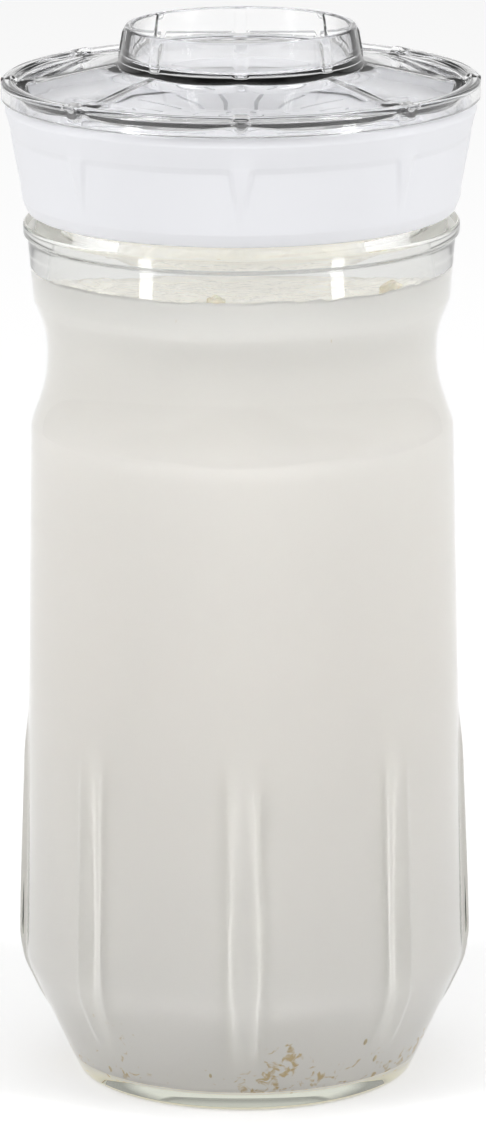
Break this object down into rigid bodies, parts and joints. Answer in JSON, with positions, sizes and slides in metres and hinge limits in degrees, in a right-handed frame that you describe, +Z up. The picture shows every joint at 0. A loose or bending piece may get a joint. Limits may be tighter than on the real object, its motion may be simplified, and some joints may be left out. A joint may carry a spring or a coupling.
{
  "type": "kefir fermentation jar",
  "caption": "Clear ribbed glass jar of kefir with a white screw collar that holds a strainer, and a clear lift-off lid with a raised ring, for fermenting and straining milk.",
  "frame": {"origin": "centre of the jar's foot, on the surface that it stands on", "axes": "+Z up along the jar's axis, with a rib facing -Y, the side that the picture shows"},
  "size_m": [0.0922, 0.0922, 0.2078],
  "materials": {
    "glass": "clear pressed glass, faint green in the thick edges",
    "clear_plastic": "crystal clear, polished",
    "white_plastic": "cool white, satin",
    "silicone": "pale translucent silicone",
    "kefir": "warm off-white, soft and wet",
    "kefir_grain": "tan, lumpy and wet"
  },
  "bodies": {
    "jar": {"glass_jar": "glass", "kefir": "kefir", "settled_grain_1": "kefir_grain", "settled_grain_2": "kefir_grain", "settled_grain_3": "kefir_grain", "settled_grain_4": "kefir_grain", "floating_grain_1": "kefir_grain", "floating_grain_2": "kefir_grain"},
    "gasket": {"rim_gasket": "silicone"},
    "strainer": {"strainer": "white_plastic"},
    "collar": {"collar": "white_plastic"},
    "lid": {"clear_lid": "clear_plastic"}
  },
  "joints": [
    {"name": "top_lift_off", "type": "slide", "parent": "jar", "child": "gasket", "axis": [0, 0, 1], "range_m": [0, 0.05]},
    {"name": "collar_rise", "type": "slide", "parent": "gasket", "child": "strainer", "axis": [0, 0, 1], "range_m": [0, 0.00625]},
    {"name": "collar_turn", "type": "hinge", "parent": "strainer", "child": "collar", "pos_m": [0, 0, 0.18], "axis": [0, 0, 1], "range_deg": [0, 450]},
    {"name": "lid_lift", "type": "slide", "parent": "collar", "child": "lid", "axis": [0, 0, 1], "range_m": [0, 0.04]}
  ],
  "couplings": [
    {"joint": "collar_rise", "follows": "collar_turn", "m_per_rad": 0.00079577}
  ]
}
